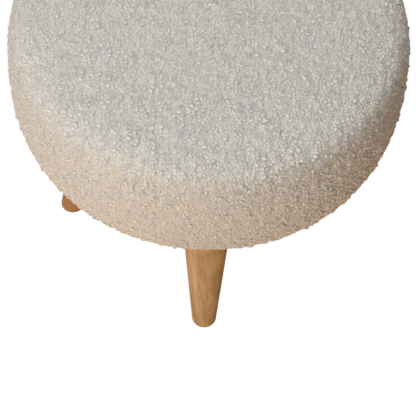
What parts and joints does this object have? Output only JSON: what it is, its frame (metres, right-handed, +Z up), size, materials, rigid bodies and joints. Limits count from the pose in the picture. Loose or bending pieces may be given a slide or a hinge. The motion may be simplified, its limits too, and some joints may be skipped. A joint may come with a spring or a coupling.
{
  "type": "upholstered footstool",
  "caption": "Round padded footstool covered in short curly pile cloth, on splayed, tapered round wooden legs.",
  "frame": {"origin": "on the floor, under the middle of the seat", "axes": "+Z up along the seat's axis; -Y towards the front leg, +X towards the right leg"},
  "size_m": [0.4198, 0.4198, 0.3787],
  "materials": {
    "cover": "cream curly pile cloth, matt",
    "legs": "light brown wood, satin"
  },
  "bodies": {
    "root": {"seat": "cover", "leg_front": "legs", "leg_left": "legs", "leg_right": "legs", "leg_back": "legs"}
  },
  "joints": []
}
